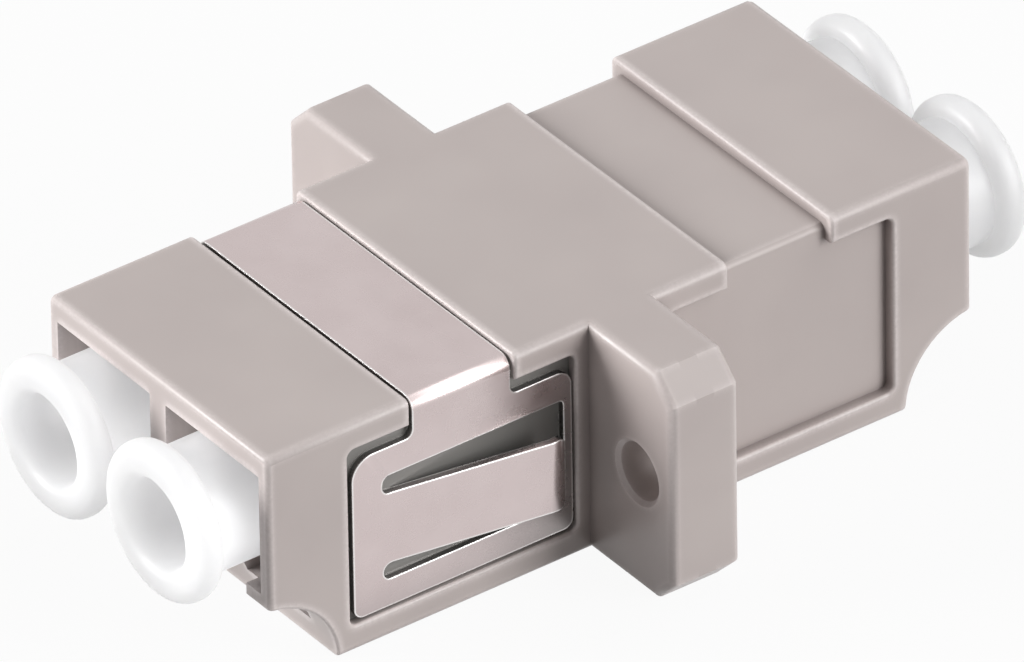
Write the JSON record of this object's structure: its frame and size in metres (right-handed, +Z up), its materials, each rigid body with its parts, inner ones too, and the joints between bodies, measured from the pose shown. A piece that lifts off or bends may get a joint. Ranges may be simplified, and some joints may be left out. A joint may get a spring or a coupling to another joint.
{
  "type": "LC fibre adapter",
  "caption": "Panel-mount fibre adapter with plug ports side by side at each end, screw ears, a spring clip and push-in dust caps.",
  "frame": {"origin": "middle of the base, on the plane where the two moulded halves of the housing meet", "axes": "+X across the ports to the right as seen from the clip end, +Y along the fibre from the clip end to the other end, +Z up from the latch side on which the adapter lies"},
  "size_m": [0.022, 0.035, 0.0093],
  "materials": {
    "housing_plastic": "moulded beige engineering plastic with a fine satin surface",
    "sleeve_bronze": "smooth phosphor bronze",
    "clip_steel": "rolled stainless spring sheet with bright cut edges",
    "cap_plastic": "soft natural white plastic that passes a little light"
  },
  "bodies": {
    "adapter": {"front_housing": "housing_plastic", "rear_housing": "housing_plastic", "split_sleeve_left": "sleeve_bronze", "split_sleeve_right": "sleeve_bronze", "panel_clip": "clip_steel"},
    "front_left_cap": {"front_left_dust_cap": "cap_plastic"},
    "front_right_cap": {"front_right_dust_cap": "cap_plastic"},
    "rear_left_cap": {"rear_left_dust_cap": "cap_plastic"},
    "rear_right_cap": {"rear_right_dust_cap": "cap_plastic"}
  },
  "joints": [
    {"name": "front_left_cap_pull", "type": "slide", "parent": "adapter", "child": "front_left_cap", "axis": [0, -1, 0], "range_m": [0, 0.01]},
    {"name": "front_right_cap_pull", "type": "slide", "parent": "adapter", "child": "front_right_cap", "axis": [0, -1, 0], "range_m": [0, 0.01]},
    {"name": "rear_left_cap_pull", "type": "slide", "parent": "adapter", "child": "rear_left_cap", "axis": [0, 1, 0], "range_m": [0, 0.01]},
    {"name": "rear_right_cap_pull", "type": "slide", "parent": "adapter", "child": "rear_right_cap", "axis": [0, 1, 0], "range_m": [0, 0.01]}
  ]
}
